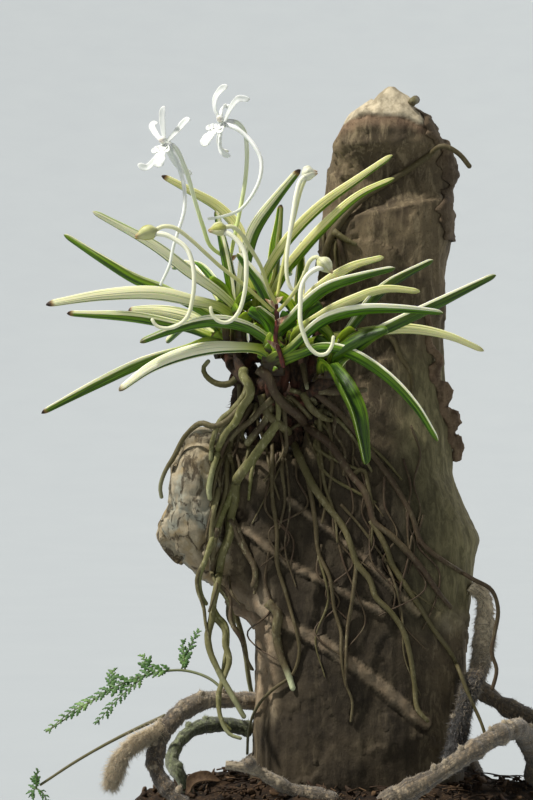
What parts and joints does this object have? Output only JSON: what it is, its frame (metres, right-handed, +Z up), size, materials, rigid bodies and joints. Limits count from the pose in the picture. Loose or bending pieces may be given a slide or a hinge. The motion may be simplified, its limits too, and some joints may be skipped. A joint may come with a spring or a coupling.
{
  "type": "wind orchid on a rock",
  "caption": "Wind orchid in flower, a clump of arching leaf fans whose long roots grip an upright weathered rock, with furry fern rhizomes and peat round its foot.",
  "frame": {"origin": "middle of the rock's flat underside, level with the underside of the peat", "axes": "+Z up along the rock, +X to the right of the flowering side, +Y to the back, away from the viewer"},
  "size_m": [0.1695, 0.1019, 0.2333],
  "materials": {
    "rock": "matte",
    "root": "matte",
    "leaf_variegated": "satin",
    "leaf_green": "satin",
    "flower_stalk": "satin",
    "petal": "satin",
    "bud": "satin",
    "rhizome_fur": "matte",
    "rhizome_green": "matte",
    "fern_leaf": "satin",
    "peat": "matte"
  },
  "bodies": {
    "root": {"rock": "rock", "roots_left": "root", "roots_front": "root", "roots_right": "root", "roots_climbing": "root", "roots_back": "root", "leaf_fan_front": "leaf_variegated", "leaf_fan_left": "leaf_variegated", "leaf_fan_rear": "leaf_green", "leaf_fan_centre": "leaf_variegated", "leaf_fan_right": "leaf_green", "leaf_fan_low_left": "leaf_green", "flower_stalk_front": "flower_stalk", "flower_stalk_rear": "flower_stalk", "bloom_left": "petal", "bloom_top": "petal", "bud_low_left": "bud", "bud_middle": "bud", "bud_tall": "bud", "bud_right": "bud", "rhizome_left_arch": "rhizome_fur", "rhizome_left_green": "rhizome_green", "rhizome_front": "rhizome_fur", "rhizome_right_front": "rhizome_fur", "rhizome_right_furry": "rhizome_fur", "rhizome_right_rear": "rhizome_fur", "rhizome_rear": "rhizome_fur", "fern_frond": "fern_leaf", "peat_mound": "peat"}
  },
  "joints": []
}
